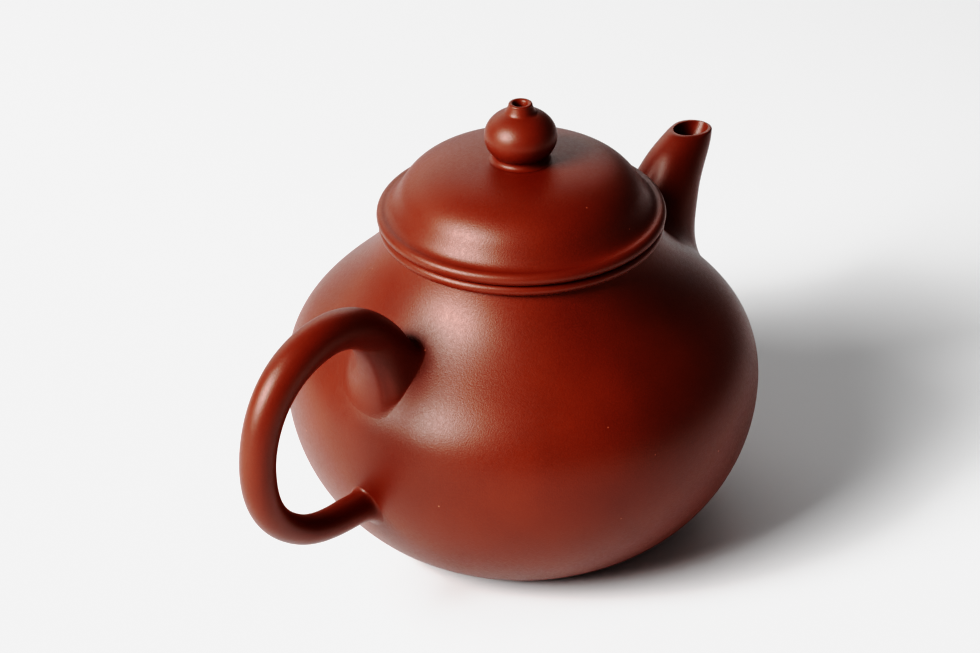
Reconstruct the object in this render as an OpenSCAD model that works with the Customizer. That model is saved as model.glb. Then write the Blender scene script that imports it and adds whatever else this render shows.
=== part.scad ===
// Small clay teapot, built from the separate clay pieces that a potter joins.
// Millimetres, +Z up, resting plane at z = 0, spout toward +X, handle toward -X.

/* [Body] */
// largest radius of the round body
body_r = 47; // [44:0.5:50]
// height of the largest radius
belly_z = 31; // [28:0.5:34]
// radius of the flat base
base_r = 28.5; // [26:0.5:31]
// thickness of the clay wall
wall = 3; // [2.4:0.1:3.6]

/* [Mouth] */
// radius of the crease under the mouth bead
crease_r = 26.25; // [26:0.05:27]
// height of the crease under the mouth bead
crease_z = 63.4; // [61:0.1:65]
// height of the mouth ring above the crease
ring_h = 2.3; // [2:0.1:2.8]
// radius of the mouth opening
mouth_r = 22.6; // [21:0.1:23]

/* [Lid] */
// outer radius of the lid
lid_r = 28; // [27.6:0.1:28.4]
// height of the domed part above the brim
dome_h = 10.4; // [8:0.1:12]
// thickness of the domed part
lid_wall = 2.6; // [2.2:0.1:3]
// radial gap between the lid flange and the mouth
lid_gap = 0.2; // [0.15:0.05:0.3]
// how far the flange reaches down into the mouth
flange_h = 6; // [4:0.5:8]

/* [Knob] */
// largest radius of the knob
knob_r = 7; // [6:0.05:8]
// radius of the vent hole
vent_r = 1.1; // [0.8:0.05:1.4]

/* [Spout] */
// outer radius at the spout's mouth
spout_tip_r = 4.2; // [4:0.1:5]
// thickness of the spout's wall
spout_wall = 1.7; // [1.4:0.1:2]
// distance of the spout's mouth from the pot's axis
spout_x = 53.8; // [52:0.2:56]
// height of the spout's mouth
spout_z = 63.9; // [62:0.2:66]

/* [Handle] */
// rod radius at the top of the handle
grip_r = 3.8; // [3.4:0.1:4.4]
// rod radius near the lower joint
tail_r = 2.9; // [2.5:0.1:3.3]
// how far the handle reaches from the pot's axis
handle_x = 73; // [70:0.5:76]

/* [Hidden] */
$fn = 96;
eps = 0.05;
seg = 22;
mouth_z = crease_z + ring_h;
lid_z = mouth_z + eps;
brim_z = lid_z + 2.2;
top_z = brim_z + dome_h;
flange_r = mouth_r - lid_gap;
hole_r = 8;

// curve tools
function bz(p, t) =
  pow(1 - t, 3) * p[0] + 3 * t * pow(1 - t, 2) * p[1]
  + 3 * t * t * (1 - t) * p[2] + pow(t, 3) * p[3];
function bd(p, t) =
  3 * pow(1 - t, 2) * (p[1] - p[0]) + 6 * t * (1 - t) * (p[2] - p[1])
  + 3 * t * t * (p[3] - p[2]);
function unit(v) = v / norm(v);
// point set in from a curve by w, on its left side as t grows
function inset(p, t, w) = bz(p, t) + w * unit([-bd(p, t)[1], bd(p, t)[0]]);
function run(p, a, b, n) = [for (i = [0 : n]) bz(p, a + (b - a) * i / n)];
function inrun(p, a, b, n, w) = [for (i = [0 : n]) inset(p, a + (b - a) * i / n, w)];
function arc(c, r, a, b, n) =
  [for (i = [0 : n]) c + r * [cos(a + (b - a) * i / n), sin(a + (b - a) * i / n)]];
function ramp(a, b, t) = a + (b - a) * t * t * (3 - 2 * t);

// body outline: base to belly, then belly to crease
low = [[base_r, 0], [base_r + 12.1, 6.3], [body_r, belly_z - 12.2], [body_r, belly_z]];
high = [[body_r, belly_z], [body_r, belly_z + 16.9], [crease_r + 6.05, crease_z - 14.8],
  [crease_r, crease_z]];
t_base = 0.16;
t_seam = 0.74;
base_t = bz(low, t_base)[1];
in_r = inset(low, t_base, wall)[0] - 1.5;

module lathe(pts) {
  rotate_extrude($fn = 96)
    polygon(pts);
}

// whole outside of the pot, used to trim what is joined on to it
module pot_form() {
  lathe(concat([[0, -1], [base_r, -1]], run(low, 0, 1, seg), run(high, 0.05, 1, seg),
    [[0, crease_z]]));
}

// hollow inside the wall
module pot_hollow() {
  lathe(concat([[0, base_t], [in_r, base_t]], inrun(low, t_base, 1, seg, wall),
    inrun(high, 0.05, t_seam, 16, wall), [[0, inset(high, t_seam, wall)[1]]]));
}

module base_disc() {
  color([0.48, 0.14, 0.08])
    lathe(concat([[0, 0]], run(low, 0, t_base, 6), [[0, base_t]]));
}

module body_wall() {
  color([0.5, 0.15, 0.09])
    difference() {
      lathe(concat([[in_r, base_t]], run(low, t_base, 1, seg), run(high, 0.05, t_seam, 16),
        inrun(high, t_seam, 0.05, 16, wall), inrun(low, 1, t_base, seg, wall)));
      translate([root[0], 0, root[1]])
        rotate([0, 55, 0])
          cylinder(r = hole_r, h = 30);
    }
}

module top_disc() {
  color([0.52, 0.16, 0.09])
    lathe(concat(run(high, t_seam, 1, 10), [[mouth_r, crease_z]],
      [[mouth_r, crease_z - wall]], inrun(high, 0.94, t_seam, 8, wall)));
}

module mouth_ring() {
  color([0.54, 0.17, 0.1])
    lathe(concat([[mouth_r, crease_z], [crease_r, crease_z]],
      arc([crease_r + 1.4 - ring_h / 2, crease_z + ring_h / 2], ring_h / 2, -80, 80, 12),
      [[mouth_r + 0.3, mouth_z], [mouth_r, mouth_z - 0.3]]));
}

// a rod swept along a list of [x, z, direction, radius, slant of the ring from square]
module sweep_rod(path, n) {
  m = len(path);
  points = [for (s = path) for (k = [0 : n - 1])
    let (a = 360 * k / n, out = s[3] * cos(a), slip = out * tan(s[4]))
    [s[0] - out * sin(s[2]) - slip * cos(s[2]), s[3] * sin(a),
    s[1] + out * cos(s[2]) - slip * sin(s[2])]];
  sides = [for (i = [0 : m - 2]) for (k = [0 : n - 1])
    let (a = i * n + k, b = i * n + (k + 1) % n)
    each [[a, b, b + n], [a, b + n, a + n]]];
  polyhedron(points, concat([[for (k = [n - 1 : -1 : 0]) k]],
    sides, [[for (k = [0 : n - 1]) (m - 1) * n + k]]));
}

// spout centre line: from inside the body wall, up, then leaning out
root = [36, 36];
waist = [43.8, 49.3];
tip = [spout_x, spout_z];
spout_a = [root, root + [6.5, 4.5], waist - [2.4, 9], waist];
spout_b = [waist, waist + [2.4, 9], tip - [2.1, 3.5], tip];
function spout_at(u) = u < 1 ? bz(spout_a, u) : bz(spout_b, u - 1);
function spout_dir(u) =
  let (d = u < 1 ? bd(spout_a, u) : bd(spout_b, u - 1))
  atan2(d[1], d[0]);
// the rings slant until the mouth lies almost level
level = 86.5;
function spout_slant(u) = u > 1.45 ? ramp(0, level - spout_dir(u), (u - 1.45) / 0.55) : 0;
function spout_r(u) =
  let (t = u / 2)
  12.5 * pow(1 - t, 2) + 2 * 6.9 * t * (1 - t) + spout_tip_r * t * t;

module spout() {
  rings = 26;
  color([0.5, 0.15, 0.09])
    difference() {
      sweep_rod(concat([for (i = [0 : rings])
        let (u = 2 * i / rings, c = spout_at(u))
        [c[0], c[1], spout_dir(u), spout_r(u), spout_slant(u)]],
        [[tip[0], tip[1] + 0.4, spout_dir(2), spout_tip_r - 0.2, spout_slant(2)],
        [tip[0], tip[1] + 0.55, spout_dir(2), spout_tip_r - 0.7, spout_slant(2)]]), 28);
      sweep_rod(concat([for (i = [0 : rings])
        let (u = 2 * i / rings, c = spout_at(u))
        [c[0], c[1], spout_dir(u), spout_r(u) - spout_wall + 0.3 * pow(u / 2, 8), spout_slant(u)]],
        [[tip[0], tip[1] + 2, spout_dir(2), spout_tip_r - 0.9, spout_slant(2)]]), 28);
      pot_form();
    }
}

// pierced dome that holds back the leaves
module strainer() {
  color([0.46, 0.14, 0.08])
    intersection() {
      translate([root[0] + 5, 0, root[1] + 3.5])
        rotate([0, -125, 0])
          difference() {
            sphere(r = 9.6);
            sphere(r = 8.2);
            cylinder(r = 0.9, h = 12, $fn = 24);
            for (a = [0 : 60 : 300])
              rotate([0, 26, a])
                cylinder(r = 0.9, h = 12, $fn = 24);
            for (a = [15 : 30 : 345])
              rotate([0, 50, a])
                cylinder(r = 0.9, h = 12, $fn = 24);
          }
      pot_hollow();
    }
}

// handle centre line in four curves, from the upper joint to the lower joint
function turn(c, a, l) = c + l * [cos(a), sin(a)];
h0 = [-35.1, 49];
h1 = [-57.3, 63.4];
h2 = [-handle_x, 43.2];
h3 = [-63.9, 26.1];
h4 = [-44.5, 21.5];
handle_c = [
  [h0, turn(h0, 123, 6.2), turn(h1, 10, 12.7), h1],
  [h1, turn(h1, 190, 12.7), turn(h2, 90, 6.4), h2],
  [h2, turn(h2, 270, 6.4), turn(h3, 147, 8.5), h3],
  [h3, turn(h3, 327, 8.5), turn(h4, 150, 2.9), h4]];
handle_r = [4.2, grip_r, 3.4, tail_r, 3.2];

module handle() {
  steps = 12;
  path = [for (j = [0 : 3]) for (i = [(j == 0 ? 0 : 1) : steps])
    let (t = i / steps, c = bz(handle_c[j], t), d = bd(handle_c[j], t),
      flare = j == 0 ? 3.4 * pow(max(0, 1 - t * 1.6), 2)
        : (j == 3 ? 1.6 * pow(max(0, 3 * t - 2), 2) : 0))
    [c[0], c[1], atan2(d[1], d[0]), ramp(handle_r[j], handle_r[j + 1], t) + flare, 0]];
  color([0.5, 0.15, 0.09])
    difference() {
      sweep_rod(path, 24);
      pot_form();
    }
}

// lid
dome_r = 24.9;
dome = [[dome_r, brim_z], [dome_r - 2.5, top_z - 0.7], [14.6, top_z], [0, top_z]];

module vent() {
  translate([0, 0, lid_z])
    cylinder(r = vent_r, h = 40, $fn = 48);
}

module lid_dome() {
  color([0.5, 0.15, 0.09])
    difference() {
      lathe(concat(run(dome, 0, 1, seg), inrun(dome, 1, 0.06, seg, lid_wall),
        [[dome_r - lid_wall, brim_z]]));
      vent();
    }
}

module lid_brim() {
  color([0.54, 0.17, 0.1])
    lathe(concat([[flange_r - 2, lid_z], [lid_r - 1.4, lid_z]],
      arc([lid_r - 1.25, lid_z + 1.25], 1.25, -80, 90, 14),
      [[dome_r + 0.2, brim_z + 0.35], [dome_r, brim_z], [dome_r - lid_wall, brim_z],
      [flange_r - 2, brim_z - 0.6]]));
}

module lid_flange() {
  color([0.48, 0.14, 0.08])
    lathe([[flange_r - 2, lid_z], [flange_r - 2, lid_z - flange_h + 0.4],
      [flange_r - 1.6, lid_z - flange_h], [flange_r - 0.8, lid_z - flange_h],
      [flange_r, lid_z - flange_h + 0.8], [flange_r, lid_z]]);
}

module knob() {
  ball_z = top_z + 4.9;
  neck_z = ball_z + 4.75;
  color([0.52, 0.16, 0.09])
    difference() {
      lathe(concat([[0, top_z]],
        run([[6.15, top_z], [5.6, top_z + 0.06], [5.25, top_z + 0.4], [5.2, top_z + 0.95]], 0, 1, 6),
        [for (a = [-40 : 8 : 0]) [knob_r * cos(a), ball_z + 5.6 * sin(a)]],
        [for (a = [6 : 8 : 62]) [knob_r * cos(a), ball_z + 5.4 * sin(a)]],
        run([[3.1, neck_z + 0.1], [2.75, neck_z + 0.24], [2.65, neck_z + 0.6], [2.4, neck_z + 1.75]],
          0, 1, 6),
        arc([2, neck_z + 1.75], 0.35, 0, 90, 5), [[0, neck_z + 2.1]]));
      vent();
    }
}

base_disc();
body_wall();
top_disc();
mouth_ring();
spout();
strainer();
handle();
lid_dome();
lid_brim();
lid_flange();
knob();
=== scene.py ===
"""Looks for a small unglazed clay teapot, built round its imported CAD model. Metres, +Z up."""

import math

import bmesh
import bpy
from mathutils import Matrix, Vector


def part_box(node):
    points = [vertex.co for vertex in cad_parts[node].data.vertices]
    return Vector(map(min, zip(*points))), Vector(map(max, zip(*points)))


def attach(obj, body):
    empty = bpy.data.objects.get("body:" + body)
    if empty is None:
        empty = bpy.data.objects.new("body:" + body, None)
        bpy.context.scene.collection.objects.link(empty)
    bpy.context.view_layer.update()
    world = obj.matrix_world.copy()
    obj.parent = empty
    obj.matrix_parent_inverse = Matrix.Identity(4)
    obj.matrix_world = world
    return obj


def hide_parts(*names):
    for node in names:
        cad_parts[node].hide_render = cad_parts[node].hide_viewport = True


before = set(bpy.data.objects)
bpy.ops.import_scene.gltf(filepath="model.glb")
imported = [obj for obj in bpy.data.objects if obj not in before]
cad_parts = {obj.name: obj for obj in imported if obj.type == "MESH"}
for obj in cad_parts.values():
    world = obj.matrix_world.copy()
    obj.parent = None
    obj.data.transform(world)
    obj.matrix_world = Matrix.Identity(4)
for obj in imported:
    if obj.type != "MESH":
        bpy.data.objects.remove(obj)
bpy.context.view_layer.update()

MM = 0.001
TURN = 2 * math.pi

# how finely the meshes are divided, and the angle above which an edge stays crisp
LATHE_SIDES = 224
KNOB_SIDES = 128
ROD_SIDES = 72
CREASE_ANGLE = 50


def box_mm(name):
    """Lowest and highest corners of a CAD node, in mm."""
    return [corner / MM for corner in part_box(name)]


# sizes read from the frame, in mm
BODY_R = box_mm("body_wall")[1].y
NECK_Z, MOUTH_Z = (corner.z for corner in box_mm("mouth_ring"))
RING_R = box_mm("mouth_ring")[1].y
LID_Z, LID_R = box_mm("lid_brim")[0].z, box_mm("lid_brim")[1].y
DOME_Z, TOP_Z = (corner.z for corner in box_mm("lid_dome"))
DOME_R = box_mm("lid_dome")[1].y
FLANGE_Z, FLANGE_R = box_mm("lid_flange")[0].z, box_mm("lid_flange")[1].y
KNOB_R, KNOB_TOP = box_mm("knob")[1].y, box_mm("knob")[1].z

# sizes that the boxes of the nodes don't show, in mm
BASE_R = 28.5
BELLY_Z = 31.0
NECK_R = 26.25
LID_GAP = 0.2
MOUTH_R = FLANGE_R + LID_GAP
WALL = 3.0
LID_WALL = 2.6
FLANGE_WALL = 2
VENT_R = 1.1

# where the wall meets the two discs, as shares of the lower and the upper outline
SEAM_BASE = 0.16
SEAM_TOP = 0.74
SEAM_STEP = 0.004


# ---------------------------------------------------------------- curves

def bezier(p, t):
    """Point of a cubic Bezier curve given by four points."""
    k = 1 - t
    weights = (k * k * k, 3 * t * k * k, 3 * t * t * k, t * t * t)
    return Vector([sum(w * q[i] for w, q in zip(weights, p)) for i in range(len(p[0]))])


def bezier_way(p, t):
    """Unit direction of a cubic Bezier curve."""
    k = 1 - t
    weights = (-k * k, k * k - 2 * t * k, 2 * t * k - t * t, t * t)
    return Vector([sum(w * q[i] for w, q in zip(weights, p)) for i in range(len(p[0]))]).normalized()


def run(p, a, b, n):
    """n + 1 points along a Bezier curve, from t = a to t = b."""
    return [tuple(bezier(p, a + (b - a) * i / n)) for i in range(n + 1)]


def inset_run(p, a, b, n, depth):
    """The same run, moved to the left of the curve's direction by depth."""
    points = []
    for i in range(n + 1):
        t = a + (b - a) * i / n
        c, d = bezier(p, t), bezier_way(p, t)
        points.append((c[0] - depth * d[1], c[1] + depth * d[0]))
    return points


def arc(centre, radius, start, end, n):
    """n + 1 points on a circle, or on an ellipse where radius is a pair, angles in degrees."""
    rx, rz = radius if isinstance(radius, tuple) else (radius, radius)
    angles = [math.radians(start + (end - start) * i / n) for i in range(n + 1)]
    return [(centre[0] + rx * math.cos(a), centre[1] + rz * math.sin(a)) for a in angles]


def smooth(a, b, t):
    """Eases from a to b as t goes from 0 to 1."""
    return a + (b - a) * t * t * (3 - 2 * t)


# body outline: base to belly, then belly to the neck crease, in mm
LOW = [(BASE_R, 0), (BASE_R + 12.1, 6.3), (BODY_R, BELLY_Z - 12.2), (BODY_R, BELLY_Z)]
HIGH = [(BODY_R, BELLY_Z), (BODY_R, BELLY_Z + 16.9), (NECK_R + 6.05, NECK_Z - 14.8), (NECK_R, NECK_Z)]


class Outline:
    """The body's outline by arc length, so that joints can be laid out on the surface."""

    def __init__(self, steps=400):
        points = run(LOW, 0, 1, steps) + run(HIGH, 0, 1, steps)[1:]
        self.rows = [(0.0, Vector(points[0]))]
        for a, b in zip(points, points[1:]):
            self.rows.append((self.rows[-1][0] + (Vector(b) - Vector(a)).length, Vector(b)))

    def at(self, s):
        """Radius and height, and the upward direction, at arc length s."""
        rows, low, high = self.rows, 0, len(self.rows) - 1
        while high - low > 1:
            mid = (low + high) // 2
            low, high = (mid, high) if rows[mid][0] <= s else (low, mid)
        (s0, a), (s1, b) = rows[low], rows[high]
        return a.lerp(b, (s - s0) / (s1 - s0)), (b - a).normalized()

    def length_at(self, z):
        """Arc length where the outline reaches height z."""
        return next(s for s, p in self.rows if p[1] >= z)

    def surface(self, side, y, s):
        """Point and outward normal on the body, y mm round it from the XZ plane. side is +1 or -1 along X."""
        (r, z), up = self.at(s)
        turn = y / r
        out = Vector((side * math.cos(turn), math.sin(turn), 0))
        return out * r + Vector((0, 0, z)), out * up[1] - Vector((0, 0, up[0]))


body_outline = Outline()


# ---------------------------------------------------------------- meshes

def finish_mesh(mesh, name):
    """Turns a bmesh in mm into a smooth-shaded object in metres."""
    bmesh.ops.remove_doubles(mesh, verts=mesh.verts, dist=1e-5)
    bmesh.ops.recalc_face_normals(mesh, faces=mesh.faces)
    bmesh.ops.scale(mesh, vec=(MM, MM, MM), verts=mesh.verts)
    data = bpy.data.meshes.new(name)
    mesh.to_mesh(data)
    mesh.free()
    data.shade_smooth()
    data.set_sharp_from_angle(angle=math.radians(CREASE_ANGLE))
    obj = bpy.data.objects.new(name, data)
    bpy.context.scene.collection.objects.link(obj)
    return obj


def lathe(name, loop, sides=LATHE_SIDES):
    """A closed ring of (radius, height) points turned round Z."""
    mesh = bmesh.new()
    rings = []
    for r, z in loop:
        if r == 0:
            rings.append([mesh.verts.new((0, 0, z))] * sides)
        else:
            angles = [TURN * k / sides for k in range(sides)]
            rings.append([mesh.verts.new((r * math.cos(a), r * math.sin(a), z)) for a in angles])
    for a, b in zip(rings, rings[1:] + rings[:1]):
        for k in range(sides):
            j = (k + 1) % sides
            corners = []
            for v in (a[k], a[j], b[j], b[k]):
                if v not in corners:
                    corners.append(v)
            if len(corners) > 2:
                mesh.faces.new(corners)
    return finish_mesh(mesh, name)


def skin(name, rings):
    """Joins rings of points, one after the other, and closes both ends."""
    mesh = bmesh.new()
    rows = [[mesh.verts.new(p) for p in ring] for ring in rings]
    count = len(rows[0])
    for a, b in zip(rows, rows[1:]):
        for k in range(count):
            j = (k + 1) % count
            mesh.faces.new((a[k], a[j], b[j], b[k]))
    mesh.faces.new(rows[0])
    mesh.faces.new(rows[-1])
    return finish_mesh(mesh, name)


class Rod:
    """A round rod that follows a chain of Bezier curves in the XZ plane, in mm."""

    def __init__(self, curves, radius, width=lambda u: 1):
        self.curves, self.radius, self.width = curves, radius, width

    def centre(self, u):
        """Centre and direction at u, where each curve is 1 long. Past either end the rod runs on straight."""
        last = len(self.curves)
        j = min(max(int(u), 0), last - 1)
        t = min(max(u - j, 0), 1)
        way = bezier_way(self.curves[j], t)
        point = bezier(self.curves[j], t)
        if u > last:
            speed = 3 * (self.curves[-1][3] - self.curves[-1][2]).length
            point = point + way * ((u - last) * speed)
        return point, way

    def point(self, u, a, inward=0):
        """Point on the rod's side at u. Angle a is 0 on the left of the direction of travel."""
        (x, z), (wx, wz) = self.centre(u)
        inner_u = min(u, len(self.curves))
        r = self.radius(inner_u) - inward
        side = (self.radius(inner_u) * self.width(inner_u) - inward) * math.sin(a)
        return Vector((x - wz * r * math.cos(a), side, z + wx * r * math.cos(a)))

    def rows(self, start, end, n, inward=lambda u: 0):
        """Rings from start to end, each a function of the angle, so that an end can be slanted."""
        rings = []
        for i in range(n + 1):
            ring = []
            for k in range(ROD_SIDES):
                a = TURN * k / ROD_SIDES
                u = start(a) + (end(a) - start(a)) * i / n
                ring.append(self.point(u, a, inward(u)))
            rings.append(ring)
        return rings


JOINT_RINGS = 26
# how far the end of a blend dips under the wall's surface, in mm
JOINT_SINK = 0.03
# two last rings that tuck its edge into the wall: (mm inward, mm onward)
JOINT_SKIRT = ((0.14, 1.2), (0.7, 1.4))


def joint_rings(rod, start, step, side, foot):
    """Rings that blend the end of a rod into the body. start gives u for each angle round the rod, and step
    is +1 or -1 for the way to the body. foot gives, for each angle, where the blend ends on the body and how
    soft it is: (y, s, pull on the rod's side, pull on the body's side), in mm and shares of the span."""
    samples = 24
    middle = sum((rod.point(start(TURN * k / samples), TURN * k / samples) for k in range(samples)), Vector())
    middle /= samples
    curves = []
    for k in range(ROD_SIDES):
        a = TURN * k / ROD_SIDES
        begin = rod.point(start(a), a)
        way = (rod.point(start(a) + 0.01 * step, a) - begin).normalized()
        y, s, rod_pull, body_pull = foot(a)
        end, normal = body_outline.surface(side, y, s)
        spread = end - middle
        spread -= normal * spread.dot(normal)
        spread.normalize()
        span = (end - begin).length
        curve = (begin, begin + way * (span * rod_pull), end - spread * (span * body_pull), end)
        curves.append((curve, normal, spread))
    rings = []
    for i in range(1, JOINT_RINGS + 1):
        t = i / JOINT_RINGS
        rings.append([bezier(curve, t) - normal * (JOINT_SINK * t ** 6) for curve, normal, spread in curves])
    for inward, onward in JOINT_SKIRT:
        rings.append([curve[3] - normal * inward + spread * onward for curve, normal, spread in curves])
    return rings


# ---------------------------------------------------------------- the pot

# the opening in the wall behind the spout: its start in the XZ plane, heading in degrees, radius and length
SPOUT_ROOT = (36, 36)
HOLE_HEADING = 35
HOLE_R = 8
HOLE_LENGTH = 30


def cut_hole(obj, centre, heading, radius, length):
    """Cuts a round hole into obj from centre, in mm, along heading, in degrees, in the XZ plane."""
    cutter_mesh = bmesh.new()
    bmesh.ops.create_cone(cutter_mesh, cap_ends=True, segments=64, depth=length * MM,
                          radius1=radius * MM, radius2=radius * MM)
    data = bpy.data.meshes.new("cutter")
    cutter_mesh.to_mesh(data)
    cutter_mesh.free()
    cutter = bpy.data.objects.new("cutter", data)
    bpy.context.scene.collection.objects.link(cutter)
    cutter.rotation_euler = (0, math.radians(90 - heading), 0)
    h = math.radians(heading)
    way = Vector((math.cos(h), 0, math.sin(h)))
    cutter.location = (Vector((centre[0], 0, centre[1])) + way * (length / 2)) * MM
    cut = obj.modifiers.new("cut", "BOOLEAN")
    cut.operation = "DIFFERENCE"
    cut.solver = "EXACT"
    cut.object = cutter
    bpy.context.view_layer.update()
    result = bpy.data.meshes.new_from_object(obj.evaluated_get(bpy.context.evaluated_depsgraph_get()))
    obj.modifiers.clear()
    obj.data = result
    bpy.data.objects.remove(cutter)


def build_base():
    """The bottom disc, with a shallow hollow under it."""
    top = bezier(LOW, SEAM_BASE)
    loop = [(0, 0.75), (20, 0.7), (24.5, 0.5), (26.6, 0.12), (27.6, 0.0), (28.2, 0.0)]
    loop += run(LOW, 0.012, SEAM_BASE - SEAM_STEP, 14) + [tuple(top)]
    loop += [(top[0] - 1, top[1]), (20, top[1] - 0.05), (0, top[1] - 0.1)]
    return lathe("base_disc_clay", loop)


def build_wall():
    """The wall from base to shoulder, with its foot rounded into the floor inside."""
    floor_z = bezier(LOW, SEAM_BASE)[1]
    inner = inset_run(LOW, SEAM_BASE, 1, 44, WALL)
    loop = [tuple(bezier(LOW, SEAM_BASE))] + run(LOW, SEAM_BASE + SEAM_STEP, 1, 60)
    loop += run(HIGH, 0.02, SEAM_TOP - SEAM_STEP, 44) + [tuple(bezier(HIGH, SEAM_TOP))]
    loop += inset_run(HIGH, SEAM_TOP, 0.05, 32, WALL) + inner[::-1]
    foot = inner[0]
    loop += [(foot[0] - 0.6, foot[1] - 0.3), (foot[0] - 2.6, floor_z)]
    wall = lathe("body_wall_clay", loop)
    cut_hole(wall, SPOUT_ROOT, HOLE_HEADING, HOLE_R, HOLE_LENGTH)
    return wall


def build_shoulder():
    """The disc that closes the top, up to the crease under the mouth."""
    loop = [tuple(bezier(HIGH, SEAM_TOP))] + run(HIGH, SEAM_TOP + SEAM_STEP, 0.992, 30)
    loop.append(tuple(bezier(HIGH, 1)))
    inner = inset_run(HIGH, 0.94, SEAM_TOP, 16, WALL)
    loop += [(MOUTH_R, NECK_Z), (MOUTH_R, NECK_Z - WALL + 1.2), (MOUTH_R + 0.4, NECK_Z - WALL + 0.3)]
    return lathe("top_disc_clay", loop + inner)


def build_mouth():
    """The mouth ring, with a bead round its outside."""
    bead_h = (MOUTH_Z - NECK_Z) / 2
    bead_w = bead_h * 1.15
    centre = (RING_R - bead_w, NECK_Z + bead_h)
    loop = [(MOUTH_R, NECK_Z), (NECK_R, NECK_Z), (NECK_R + 0.08, NECK_Z + 0.03)]
    loop += arc(centre, (bead_w, bead_h), -82, 90, 24)
    loop += [(MOUTH_R + 0.8, MOUTH_Z), (MOUTH_R + 0.4, MOUTH_Z - 0.06)]
    loop += [(MOUTH_R + 0.12, MOUTH_Z - 0.22), (MOUTH_R, MOUTH_Z - 0.5)]
    return lathe("mouth_ring_clay", loop)


# ---------------------------------------------------------------- handle

# the rod's centre line: (x, z, heading, reach back, reach forward), and the rod's radius at each of these
HANDLE_LINE = ((-35.1, 49.1, 122.9, 0, 6.2),
               (-57.35, 63.35, 190, 12.75, 12.75),
               (-73, 43.2, 270.1, 6.38, 6.38),
               (-63.9, 26.1, 326.6, 8.54, 8.54),
               (-45.8, 22.3, 330, 2.33, 0))
HANDLE_RADII = (4.16, 3.81, 3.36, 2.88, 3.21)
UPPER_JOINT_Z = 49.5
LOWER_JOINT_Z = 21.2


def chain(nodes):
    """Bezier curves through nodes (x, z, heading, reach back, reach forward)."""
    curves = []
    for a, b in zip(nodes, nodes[1:]):
        p, q = Vector(a[:2]), Vector(b[:2])
        leave, arrive = math.radians(a[2]), math.radians(b[2])
        curves.append([p, p + Vector((math.cos(leave), math.sin(leave))) * a[4],
                       q - Vector((math.cos(arrive), math.sin(arrive))) * b[3], q])
    return curves


def handle_radius(u):
    """Radius of the rod at u, eased from one node of its line to the next."""
    j = min(int(u), len(HANDLE_RADII) - 2)
    return smooth(HANDLE_RADII[j], HANDLE_RADII[j + 1], u - j)


def build_handle():
    """The handle: a rod, with a wide web at its upper joint and a small round one at its lower joint."""
    rod = Rod(chain(HANDLE_LINE), handle_radius)
    upper_s = body_outline.length_at(UPPER_JOINT_Z)
    lower_s = body_outline.length_at(LOWER_JOINT_Z)

    def upper_start(a):
        """Where the rod turns into the web, further out on its underside."""
        return 0.46 + 0.14 * math.cos(a) + 0.05 * math.sin(a)

    def lower_start(a):
        return 3.6 - 0.1 * math.cos(a)

    def upper_foot(a):
        """A rounded square, wider towards +Y and longer downwards. Its edge is crisp only on the -Y side."""
        square = 0.06
        down = (math.cos(a) - square * math.cos(3 * a)) / (1 - square)
        y = (math.sin(a) + square * math.sin(3 * a)) / (1 - square)
        reach = smooth(6.1, 11.2, (math.cos(a) + 1) / 2)
        wide = 5.9 + 6.2 * ((math.sin(a) + 1) / 2) ** 2
        soft = smooth(0, 1, min(1, max(0, (math.sin(a) + 0.97) / 0.32)))
        low = max(0, math.cos(a)) ** 2
        return wide * y, upper_s - reach * down, 0.3 - 0.22 * soft, 0.1 + (0.22 + 0.18 * low) * soft

    def lower_foot(a):
        """An oval, a little longer upwards."""
        up, y = math.cos(a), math.sin(a)
        reach = 5.6 if up > 0 else 5.2
        return 4.2 * y, lower_s + up * reach, 0.5, 0.25

    top = joint_rings(rod, upper_start, -1, -1, upper_foot)
    bottom = joint_rings(rod, lower_start, 1, -1, lower_foot)
    return skin("handle_clay", top[::-1] + rod.rows(upper_start, lower_start, 150) + bottom)


# ---------------------------------------------------------------- spout

SPOUT_WAIST, SPOUT_TIP = (43.8, 49.3), (54.15, 64.05)
SPOUT_LINE = ((SPOUT_ROOT, (42.5, 40.5), (41.4, 40.3), SPOUT_WAIST),
              (SPOUT_WAIST, (46.2, 58.3), (52.9, 60.2), SPOUT_TIP))
# the radius at the root, a pull between, and the radius at the tip
SPOUT_RADII = (12.5, 7.15, 4.15)
MOUTH_SLOPE = math.radians(4)
# the edge of the spout's opening, seen from above: x of its middle, half length, half width
OPENING = (53.5, 4.35, 3.15)
# the throat ends at the first pair of (u, wall thickness), and the bore runs on from the second
THROAT_END = (1.7, 1.5)
BORE_START = (1.65, 1.6)
BORE_NARROW_U = 1.15
# the bore's end, within the wall's opening: distance from SPOUT_ROOT, and radius
BORE_DEPTH, BORE_R = 6.5, 7.7
# the joint with the body: heights of its middle and its top, and its reach downwards and sideways
SPOUT_JOINT_Z, SPOUT_JOINT_TOP_Z = 43, 55
SPOUT_JOINT_DOWN, SPOUT_JOINT_SIDE = 14.5, 15


def spout_radius(u):
    """Radius of the spout at u, from 0 at the root to 2 at the tip."""
    t = u / 2
    root, pull, tip = SPOUT_RADII
    return root * (1 - t) ** 2 + 2 * pull * t * (1 - t) + tip * t * t


def mouth_plane(x):
    """Height of the spout's sloping mouth at x."""
    return SPOUT_TIP[1] - (x - SPOUT_TIP[0]) * math.tan(MOUTH_SLOPE)


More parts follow.
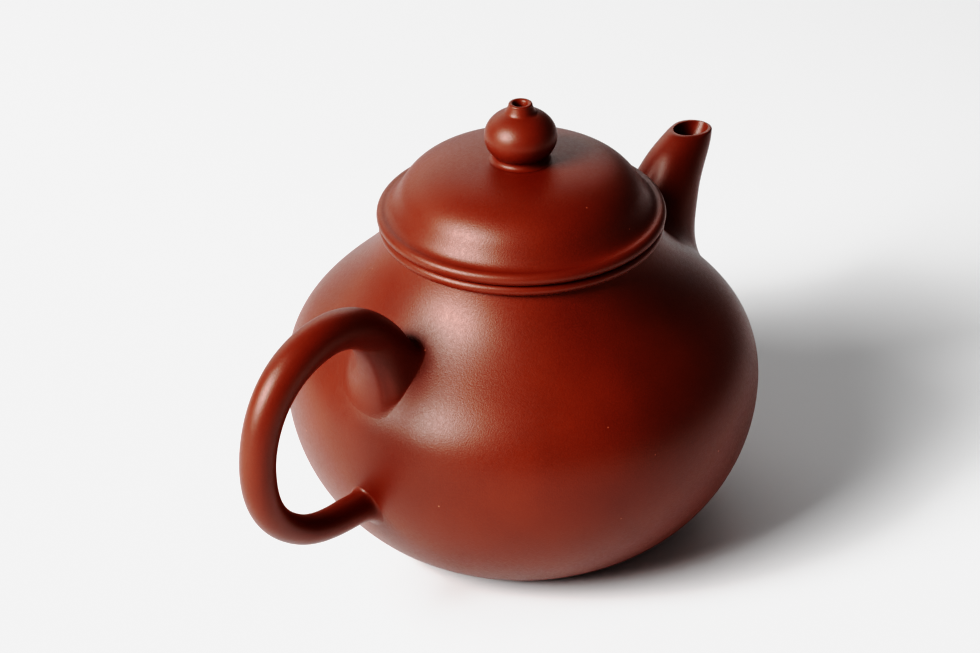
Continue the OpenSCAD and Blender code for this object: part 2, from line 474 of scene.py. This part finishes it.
def spout_bore(rod, angles):
    """Rings of the bore from the throat down to its end, a circle within the wall's opening."""
    start_u, bore_wall = BORE_START
    rings = rod.rows(lambda a: start_u, lambda a: BORE_NARROW_U, 12, lambda u: bore_wall)
    narrow = rings[-1]
    axis_x, axis_z = math.cos(math.radians(HOLE_HEADING)), math.sin(math.radians(HOLE_HEADING))
    x, z = SPOUT_ROOT[0] + axis_x * BORE_DEPTH, SPOUT_ROOT[1] + axis_z * BORE_DEPTH
    circle = [Vector((x - axis_z * BORE_R * math.cos(a), BORE_R * math.sin(a),
                      z + axis_x * BORE_R * math.cos(a))) for a in angles]
    return rings + [[p.lerp(q, i / 10) for p, q in zip(narrow, circle)] for i in range(1, 11)]


def build_spout():
    """The spout: a tapering rod with a rounded lip, a throat and a bore, spread over the body at its root."""
    curves = [[Vector(p) for p in curve] for curve in SPOUT_LINE]
    rod = Rod(curves, spout_radius, lambda u: smooth(1, 0.95, max(0, u - 1)))
    angles = [TURN * k / ROD_SIDES for k in range(ROD_SIDES)]

    def start(a):
        """Where the spout begins to spread over the body."""
        return 1.32 + 0.14 * math.cos(a)

    def lip_foot(a):
        """Where the rod's side comes within reach of the plane of the mouth, found by halving."""
        below = 0.45 + 0.45 * max(0.0, math.cos(a))
        low, high = 1.2, 2.9
        for step in range(30):
            u = (low + high) / 2
            p = rod.point(u, a)
            low, high = (u, high) if p.z < mouth_plane(p.x) - below else (low, u)
        return low

    ends = {a: lip_foot(a) for a in angles}
    mid_x, half_x, half_y = OPENING
    lips, throats = [], []
    for a in angles:
        foot_point = rod.point(ends[a], a)
        way = (foot_point - rod.point(ends[a] - 0.01, a)).normalized()
        x = mid_x - half_x * math.cos(a)
        edge = Vector((x, half_y * math.sin(a), mouth_plane(x)))
        out = Vector((-math.cos(a), math.sin(a), math.cos(a) * math.tan(MOUTH_SLOPE))).normalized()
        gap = (edge - foot_point).length
        lips.append((foot_point, foot_point + way * gap * 0.6, edge + out * gap * 0.4, edge))
        deep = rod.point(THROAT_END[0], a, THROAT_END[1])
        throats.append((edge, edge - out * 0.25, edge - out * 0.2 - Vector((0, 0, 0.9)), deep))
    outer = rod.rows(start, lambda a: ends[a], 80)
    lip = [[bezier(curve, i / 14) for curve in lips] for i in range(1, 15)]
    throat = [[bezier(curve, i / 20) for curve in throats] for i in range(1, 21)]
    foot_s = body_outline.length_at(SPOUT_JOINT_Z)
    above = body_outline.length_at(SPOUT_JOINT_TOP_Z) - foot_s

    def foot(a):
        """An oval, squarer above than below."""
        up, y = math.cos(a), math.sin(a)
        power = 0.8 if up > 0 else 1
        rise = above * up ** power if up > 0 else SPOUT_JOINT_DOWN * up
        return SPOUT_JOINT_SIDE * math.copysign(abs(y) ** power, y), foot_s + rise, 0.33, 0.5

    # the cap over the root leaves the bore blind: a skin about 1 mm thick closes it behind the strainer
    root = joint_rings(rod, start, -1, 1, foot)
    return skin("spout_clay", root[::-1] + outer + lip + throat + spout_bore(rod, angles))


# ---------------------------------------------------------------- lid

# radius of the bead round the brim
BEAD = 1.25
# share of the cove that belongs to the brim, and where on the dome's curve the cove ends
COVE_SHARE = 0.3
COVE_TOP = 0.15


def dome_curve():
    """The dome's outline, without the cove at its foot."""
    return [(DOME_R, DOME_Z), (DOME_R - 2.5, TOP_Z - 0.7), (14.6, TOP_Z), (0, TOP_Z)]


def cove_curve():
    """The hollow curve between the brim's edge and the dome."""
    edge = (LID_R - BEAD - 0.1, LID_Z + 2 * BEAD)
    join = bezier(dome_curve(), COVE_TOP)
    way = bezier_way(dome_curve(), COVE_TOP)
    return [edge, (edge[0] - 1.2, edge[1] + 0.02), tuple(join - way * 2.5), tuple(join)]


def build_dome():
    """The dome with the upper part of the cove, hollow below, and the vent hole through its top."""
    outer = run(cove_curve(), COVE_SHARE, 0.98, 30) + run(dome_curve(), COVE_TOP, 0.985, 70)
    inner = inset_run(dome_curve(), 0.95, 0.06, 40, LID_WALL)
    loop = outer + [(VENT_R, TOP_Z), (VENT_R, TOP_Z - LID_WALL)] + inner
    loop += [(DOME_R - LID_WALL, DOME_Z), (DOME_R - 0.5, DOME_Z)]
    return lathe("lid_dome_clay", loop)


def build_brim():
    """The flat brim with its bead, and the lower part of the cove."""
    loop = [(FLANGE_R - FLANGE_WALL, LID_Z), (LID_R - BEAD, LID_Z)]
    loop += arc((LID_R - BEAD, LID_Z + BEAD), BEAD, -80, 88, 26)
    loop += run(cove_curve(), 0, COVE_SHARE, 14)
    loop += [(DOME_R - 0.5, DOME_Z), (DOME_R - LID_WALL, DOME_Z), (FLANGE_R - FLANGE_WALL, DOME_Z - 0.6)]
    return lathe("lid_brim_clay", loop)


def build_flange():
    """The ring under the lid, with its lower edges rounded."""
    inner_r, in_round, out_round = FLANGE_R - FLANGE_WALL, 0.5, 0.7
    loop = [(inner_r, LID_Z)] + arc((inner_r + in_round, FLANGE_Z + in_round), in_round, 180, 270, 6)
    loop += arc((FLANGE_R - out_round, FLANGE_Z + out_round), out_round, 270, 360, 8) + [(FLANGE_R, LID_Z)]
    return lathe("lid_flange_clay", loop)


def build_knob():
    """A squashed ball on a low foot, with a nipple on top and the vent hole through all of it."""
    ball_z = TOP_Z + 4.9
    upper_h, lower_h = 5.4, 5.6
    foot_line = ((6.15, TOP_Z), (5.6, TOP_Z + 0.06), (5.25, TOP_Z + 0.4), (5.2, TOP_Z + 0.95))
    foot = [(VENT_R, TOP_Z)] + run(foot_line, 0, 1, 12)
    ball = arc((0, ball_z), (KNOB_R, lower_h), -40, 0, 30) + arc((0, ball_z), (KNOB_R, upper_h), 3, 61, 30)
    r, z = ball[-1]
    neck = run(((r, z), (r - 0.55, z + 0.22), (2.72, z + 0.45), (2.3, z + 1.75)), 0.06, 1, 18)
    rim_z = z + 1.8
    rim = arc((1.88, rim_z), (0.42, KNOB_TOP - rim_z), 0, 90, 12)
    hole = [(1.65, KNOB_TOP - 0.04), (1.45, KNOB_TOP - 0.18), (1.3, KNOB_TOP - 0.45),
            (1.2, KNOB_TOP - 1.2), (VENT_R, KNOB_TOP - 2.4)]
    return lathe("knob_clay", foot + ball + neck + rim + hole, sides=KNOB_SIDES)


# ---------------------------------------------------------------- clay

# dark and light tones of the burnished clay, and of the unburnished clay
RED_SHADE, RED_LIGHT = (0.092, 0.0125, 0.0035), (0.122, 0.018, 0.005)
RAW_SHADE, RAW_LIGHT = (0.095, 0.013, 0.006), (0.12, 0.018, 0.008)
SPECK = (0.6, 0.22, 0.13)
SHEEN_TINT = (1, 0.85, 0.79, 1)
CLAY_IOR = 1.5


def node(tree, kind, **inputs):
    """Adds a shader node and sets its named inputs."""
    made = tree.nodes.new(kind)
    for key, value in inputs.items():
        made.inputs[key].default_value = value
    return made


def clay(name, shade, light, roughness):
    """Unglazed clay: mottled colour, fine grain and a few pale specks. shade and light are its two tones."""
    material = bpy.data.materials.new(name)
    material.use_nodes = True
    tree = material.node_tree
    links = tree.links
    shader = tree.nodes["Principled BSDF"]
    place = tree.nodes.new("ShaderNodeTexCoord").outputs["Object"]

    def noise(scale, detail, rough=0.5):
        made = node(tree, "ShaderNodeTexNoise", Scale=scale, Detail=detail, Roughness=rough)
        links.new(place, made.inputs["Vector"])
        return made.outputs["Fac"]

    def spread(value, low, high, to_low, to_high):
        made = node(tree, "ShaderNodeMapRange")
        for key, number in (("From Min", low), ("From Max", high), ("To Min", to_low), ("To Max", to_high)):
            made.inputs[key].default_value = number
        links.new(value, made.inputs["Value"])
        return made.outputs["Result"]

    def mixed(factor, a, b):
        made = tree.nodes.new("ShaderNodeMix")
        made.data_type = "RGBA"
        links.new(factor, made.inputs["Factor"])
        for socket, colour in ((made.inputs["A"], a), (made.inputs["B"], b)):
            if isinstance(colour, tuple):
                socket.default_value = (*colour, 1)
            else:
                links.new(colour, socket)
        return made.outputs["Result"]

    # clouds of tone some 20 mm across, under a grain of a third of a millimetre
    clouds = spread(noise(55, 3), 0.3, 0.7, 0, 1)
    grain = noise(3200, 3, 0.65)
    colour = mixed(clouds, shade, light)
    colour = mixed(spread(grain, 0.4, 0.8, 0, 0.25), colour, tuple(c * 1.5 for c in light))
    # pale specks about 0.3 mm across, at most one to each cell of some 3 mm
    specks = node(tree, "ShaderNodeTexVoronoi", Scale=300)
    links.new(place, specks.inputs["Vector"])
    split = tree.nodes.new("ShaderNodeSeparateColor")
    links.new(specks.outputs["Color"], split.inputs["Color"])
    rare = tree.nodes.new("ShaderNodeMath")
    rare.operation = "MULTIPLY"
    links.new(spread(specks.outputs["Distance"], 0.03, 0.06, 0.5, 0), rare.inputs[0])
    links.new(spread(split.outputs["Red"], 0.86, 0.9, 0, 1), rare.inputs[1])
    colour = mixed(rare.outputs["Value"], colour, SPECK)
    links.new(colour, shader.inputs["Base Color"])

    # a sheen that varies, broken up by the grain
    uneven = spread(noise(1400, 3, 0.6), 0.3, 0.7, roughness - 0.04, roughness + 0.04)
    links.new(uneven, shader.inputs["Roughness"])
    shader.inputs["IOR"].default_value = CLAY_IOR
    shader.inputs["Specular Tint"].default_value = SHEEN_TINT
    bump = node(tree, "ShaderNodeBump", Strength=0.6, Distance=0.00006)
    links.new(grain, bump.inputs["Height"])
    links.new(bump.outputs["Normal"], shader.inputs["Normal"])
    return material


CLAYS = {"body_clay": clay("smooth_clay", RED_SHADE, RED_LIGHT, 0.405),
         "lid_clay": clay("lid_smooth_clay", RED_SHADE, RED_LIGHT, 0.42),
         "raw_clay": clay("matt_clay", RAW_SHADE, RAW_LIGHT, 0.55)}

# each piece's builder, the CAD node that it stands for, its body and its material slot
PIECES = ((build_base, "base_disc", "pot", "body_clay"),
          (build_wall, "body_wall", "pot", "body_clay"),
          (build_shoulder, "top_disc", "pot", "body_clay"),
          (build_mouth, "mouth_ring", "pot", "body_clay"),
          (build_handle, "handle", "pot", "body_clay"),
          (build_spout, "spout", "pot", "body_clay"),
          (build_dome, "lid_dome", "lid", "lid_clay"),
          (build_brim, "lid_brim", "lid", "lid_clay"),
          (build_flange, "lid_flange", "lid", "raw_clay"),
          (build_knob, "knob", "lid", "lid_clay"))

for builder, cad_node, body, slot in PIECES:
    piece = builder()
    piece.data.materials.clear()
    piece.data.materials.append(CLAYS[slot])
    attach(piece, body)
    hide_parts(cad_node)

# the strainer keeps its CAD mesh
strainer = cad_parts["strainer"]
strainer.data.materials.clear()
strainer.data.materials.append(CLAYS["raw_clay"])


# ---------------------------------------------------------------- studio

# half the floor's side, in metres
FLOOR_HALF = 2.5
FLOOR_COLOUR = (0.86, 0.86, 0.86, 1)
WORLD_STRENGTH = 0.115
LIGHTS_AIM = Vector((0, 0, 0.045))

# the camera: its place, the way it looks, a level line to its right, its roll in radians, and its focal
# length and the width of its sensor in mm
CAMERA_PLACE = (-0.350651, -0.304816, 0.319383)
CAMERA_WAY = Vector((0.639575, 0.571497, -0.514136))
CAMERA_RIGHT = Vector((0.666307, -0.745679, 0))
CAMERA_ROLL = -0.01407
CAMERA_LENS, CAMERA_SENSOR = 100.417, 36


def build_floor():
    mesh = bmesh.new()
    bmesh.ops.create_grid(mesh, x_segments=1, y_segments=1, size=FLOOR_HALF)
    data = bpy.data.meshes.new("floor")
    mesh.to_mesh(data)
    mesh.free()
    floor = bpy.data.objects.new("floor", data)
    bpy.context.scene.collection.objects.link(floor)
    paper = bpy.data.materials.new("paper")
    paper.use_nodes = True
    shader = paper.node_tree.nodes["Principled BSDF"]
    shader.inputs["Base Color"].default_value = FLOOR_COLOUR
    shader.inputs["Roughness"].default_value = 0.75
    data.materials.append(paper)


def soft_light(name, azimuth, elevation, distance, size, power):
    """A rectangular white light that faces the pot, in metres, watts and degrees. Azimuth 0 is +X."""
    lamp = bpy.data.lights.new(name, "AREA")
    lamp.shape = "RECTANGLE"
    lamp.size, lamp.size_y = size
    lamp.energy = power
    obj = bpy.data.objects.new(name, lamp)
    bpy.context.scene.collection.objects.link(obj)
    a, e = math.radians(azimuth), math.radians(elevation)
    way = Vector((math.cos(e) * math.cos(a), math.cos(e) * math.sin(a), math.sin(e)))
    obj.location = LIGHTS_AIM + way * distance
    obj.rotation_euler = way.to_track_quat("Z", "Y").to_euler()


def build_world():
    world = bpy.data.worlds.new("studio")
    bpy.context.scene.world = world
    world.use_nodes = True
    background = world.node_tree.nodes["Background"]
    background.inputs["Color"].default_value = (1, 1, 1, 1)
    background.inputs["Strength"].default_value = WORLD_STRENGTH


def build_camera():
    data = bpy.data.cameras.new("camera")
    data.sensor_width = CAMERA_SENSOR
    data.lens = CAMERA_LENS
    camera = bpy.data.objects.new("camera", data)
    bpy.context.scene.collection.objects.link(camera)
    up = CAMERA_RIGHT.cross(CAMERA_WAY)
    right = CAMERA_RIGHT * math.cos(CAMERA_ROLL) + up * math.sin(CAMERA_ROLL)
    axes = Matrix((right, right.cross(CAMERA_WAY), -CAMERA_WAY)).transposed()
    camera.rotation_euler = axes.to_euler()
    camera.location = CAMERA_PLACE
    bpy.context.scene.camera = camera


def set_tone():
    """A camera's tone curve: deep shadows, and whites that roll off."""
    view = bpy.context.scene.view_settings
    view.view_transform = "Standard"
    view.use_curve_mapping = True
    tone = view.curve_mapping.curves[3]
    tone.points[0].location = (0, 0)
    tone.points[1].location = (1, 0.9)
    for x, y in ((0.01, 0.001), (0.03, 0.009), (0.06, 0.036), (0.12, 0.14), (0.2, 0.28), (0.35, 0.47),
                 (0.5, 0.66), (0.65, 0.84), (0.85, 0.895)):
        tone.points.new(x, y)
    view.curve_mapping.extend = "HORIZONTAL"
    view.curve_mapping.update()


build_floor()
build_world()
build_camera()
soft_light("key", 165, 34, 0.95, (0.5, 0.46), 15)
soft_light("back", 60, 25, 1.7, (2.4, 1.2), 10)
set_tone()
